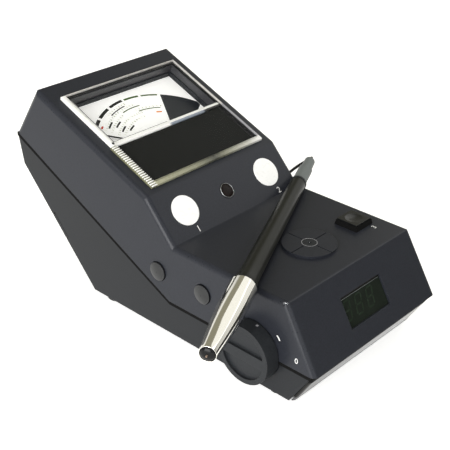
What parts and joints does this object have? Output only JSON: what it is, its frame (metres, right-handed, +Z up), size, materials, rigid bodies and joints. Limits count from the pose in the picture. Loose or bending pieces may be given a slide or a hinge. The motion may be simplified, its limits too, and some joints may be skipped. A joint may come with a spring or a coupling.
{
  "type": "diamond tester",
  "caption": "Counter-top gem tester: wedge case with a panel meter, reference discs, round test plate, numeric display, side buttons, turn knob and a wired probe pen.",
  "frame": {"origin": "on the table that the feet stand on, under the middle of the flat underside", "axes": "+X to the right of a person at the front, +Y to the back, +Z up"},
  "size_m": [0.1827, 0.1923, 0.0976],
  "materials": {
    "shell": "fine moulded texture",
    "black_plastic": "satin",
    "gloss_black": "gloss",
    "rubber": "matte",
    "steel": "plain",
    "nickel": "polished nickel plate",
    "copper": "bare copper alloy",
    "brass": "satin",
    "clear": "clear acrylic",
    "dial": "printed card",
    "ceramic": "white, smooth",
    "lamp": "smoked lens",
    "smoke": "smoked display window",
    "lcd": "display module",
    "board": "solder resist",
    "grey_rubber": "satin",
    "cell": "printed can",
    "lead": "satin jacket",
    "magnet": "plain",
    "pointer": "black paint"
  },
  "bodies": {
    "case": {"upper_shell": "shell", "lower_shell": "shell", "feet": "rubber", "case_screws": "steel", "battery_cells": "cell", "battery_contacts": "steel", "meter_body": "black_plastic", "meter_cover": "clear", "meter_dial": "dial", "meter_plate": "gloss_black", "meter_magnet": "magnet", "meter_bridge": "brass", "left_disc": "ceramic", "right_disc": "ceramic", "lamp_bezel": "black_plastic", "lamp_lens": "lamp", "test_plate": "black_plastic", "test_window": "black_plastic", "optical_sensor": "black_plastic", "display_switch": "black_plastic", "lcd_window": "smoke", "lcd_panel": "lcd", "main_board": "board", "board_parts": "black_plastic", "side_switch_board": "board", "side_switches": "black_plastic", "knob_switch": "black_plastic", "cable_gland": "rubber", "cable_probe_end": "lead", "cable_coil": "lead", "cable_case_end": "lead", "cable_tie": "black_plastic"},
    "pointer": {"meter_pointer": "pointer"},
    "display_key": {"display_button": "gloss_black"},
    "rear_key": {"rear_side_button": "black_plastic"},
    "front_key": {"front_side_button": "black_plastic"},
    "knob": {"turn_knob": "black_plastic", "knob_shaft": "steel"},
    "door": {"battery_door": "shell"},
    "probe": {"probe_barrel": "gloss_black", "probe_sleeve": "nickel", "probe_ring": "black_plastic", "probe_collar": "black_plastic", "probe_tail": "grey_rubber", "probe_boot": "grey_rubber", "probe_nose": "black_plastic", "probe_spring_seat": "steel"},
    "tip": {"probe_tip": "copper"}
  },
  "joints": [
    {"name": "pointer_swing", "type": "hinge", "parent": "case", "child": "pointer", "pos_m": [0, 0.04311, 0.07516], "axis": [0, 0.373, -0.9278], "range_deg": [0, 100], "stiffness_Nm_per_rad": 0.0005},
    {"name": "display_key_press", "type": "slide", "parent": "case", "child": "display_key", "axis": [0, 0, -1], "range_m": [0, 0.0012], "stiffness_N_per_m": 400},
    {"name": "rear_key_press", "type": "slide", "parent": "case", "child": "rear_key", "axis": [1, 0, 0], "range_m": [0, 0.001], "stiffness_N_per_m": 400},
    {"name": "front_key_press", "type": "slide", "parent": "case", "child": "front_key", "axis": [1, 0, 0], "range_m": [0, 0.001], "stiffness_N_per_m": 400},
    {"name": "knob_turn", "type": "hinge", "parent": "case", "child": "knob", "pos_m": [-0.045, -0.04305, 0.02], "axis": [-1, 0, 0], "range_deg": [0, 90]},
    {"name": "door_hinge", "type": "hinge", "parent": "case", "child": "door", "pos_m": [0, 0.06657, 0.00694], "axis": [-1, 0, 0], "range_deg": [0, 44]},
    {"name": "probe_lift", "type": "slide", "parent": "case", "child": "probe", "axis": [0, 0, 1], "range_m": [0, 0.08]},
    {"name": "tip_press", "type": "slide", "parent": "probe", "child": "tip", "axis": [0.8957, 0.4446, -0.0051], "range_m": [0, 0.0012], "stiffness_N_per_m": 500}
  ]
}
